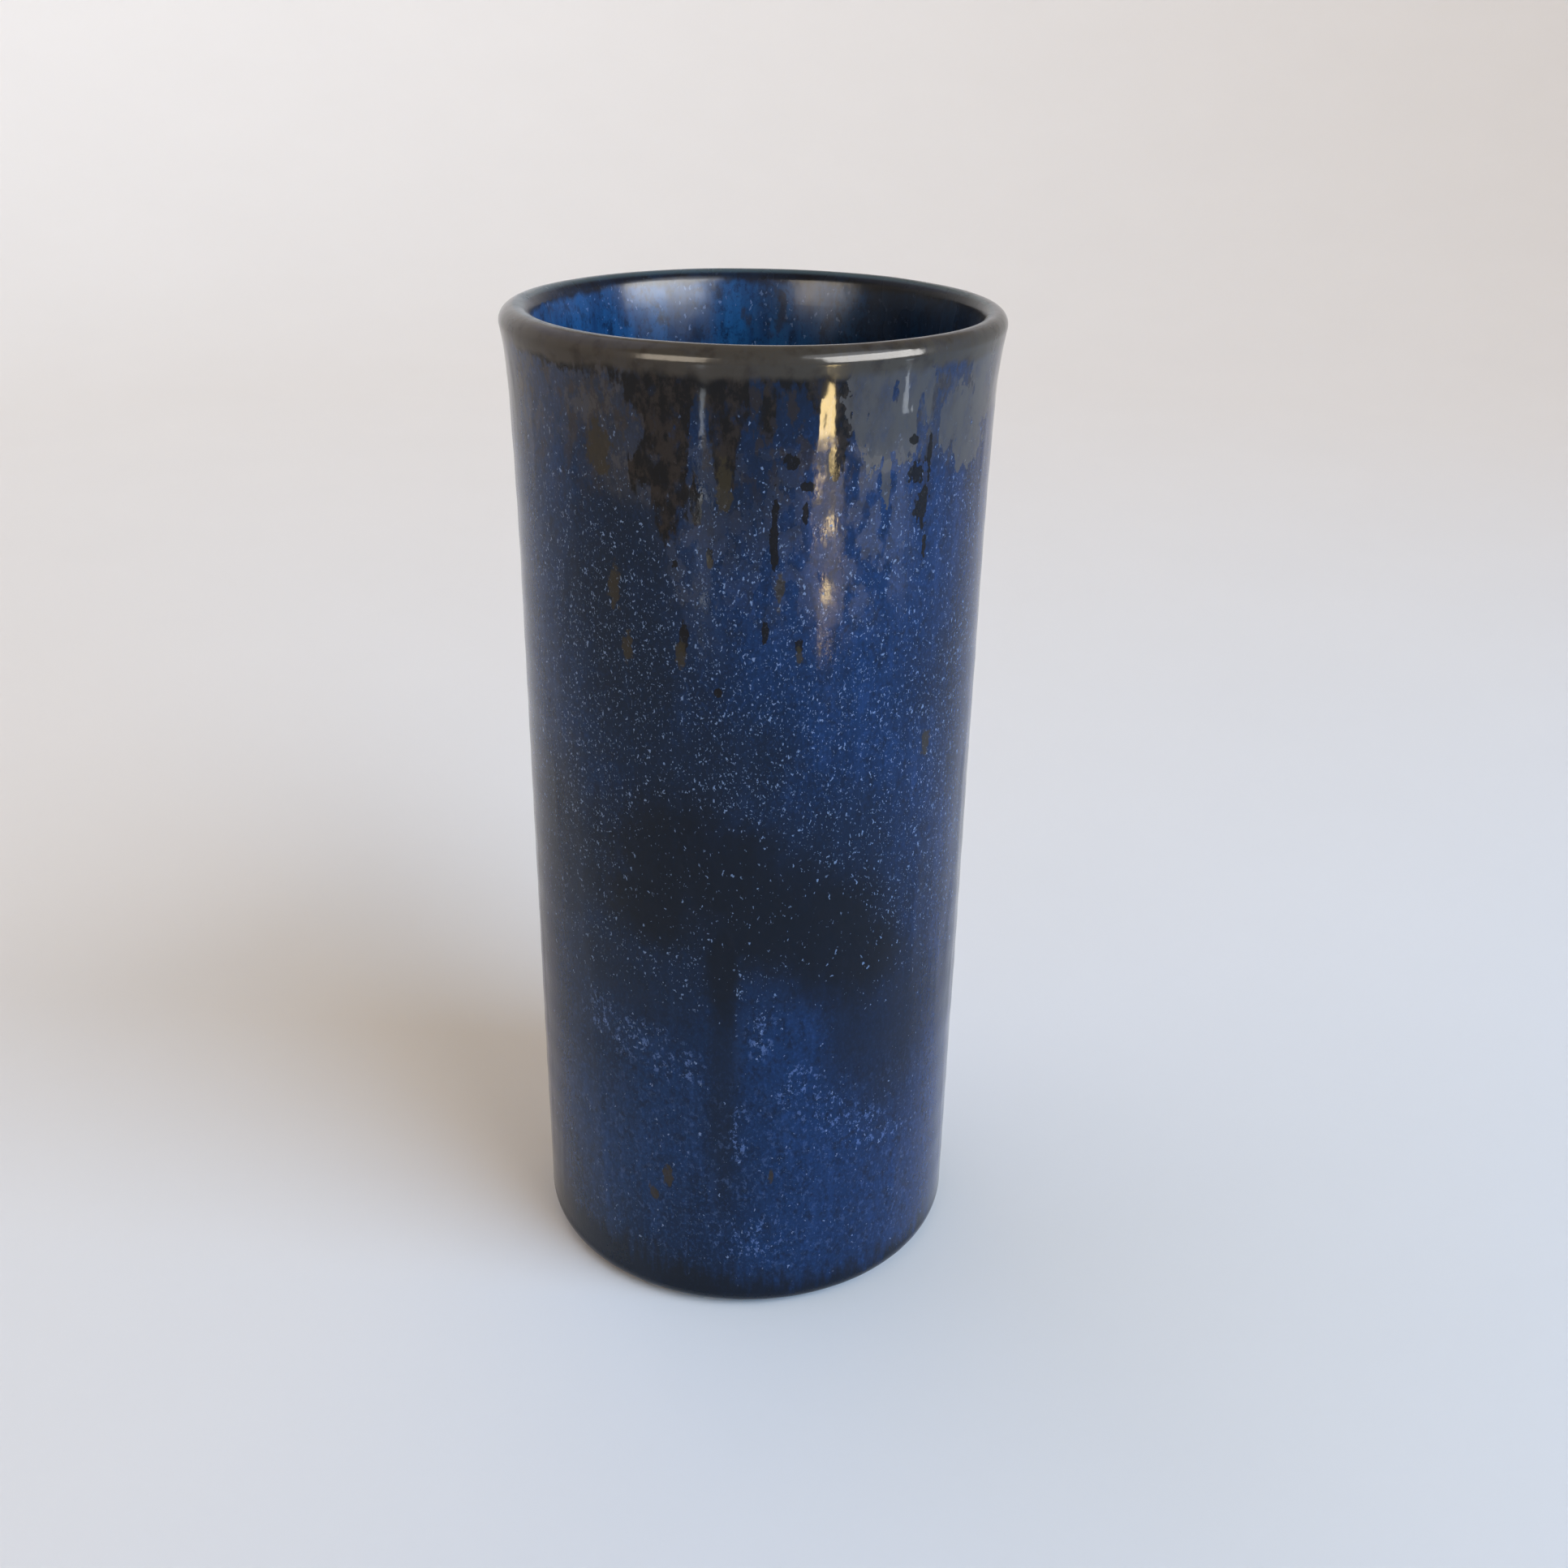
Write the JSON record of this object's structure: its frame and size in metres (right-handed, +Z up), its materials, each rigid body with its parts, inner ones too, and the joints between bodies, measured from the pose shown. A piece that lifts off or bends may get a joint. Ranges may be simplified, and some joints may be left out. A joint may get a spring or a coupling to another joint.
{
  "type": "vase",
  "caption": "Tall cylinder vase in wheel-thrown stoneware with a mottled blue glaze, an iron-brown rounded lip and a turned foot ring; holds water and cut flowers.",
  "frame": {"origin": "centre of the foot ring, on the table", "axes": "+Z up the vase's own axis, from the foot to the mouth; the vase is round, so X and Y are any pair square to it"},
  "size_m": [0.0892, 0.0892, 0.19],
  "materials": {
    "fired_clay": "unglazed dark stoneware, matt and slightly gritty",
    "blue_outer_glaze": "glossy cobalt blue with pale crystal flecks and dark iron clouds",
    "blue_inner_glaze": "glossy cobalt blue",
    "iron_rim_glaze": "glossy olive-brown iron glaze, thin on the lip"
  },
  "bodies": {
    "root": {"stoneware_body": "fired_clay", "outer_glaze": "blue_outer_glaze", "inner_glaze": "blue_inner_glaze", "rim_glaze": "iron_rim_glaze"}
  },
  "joints": []
}
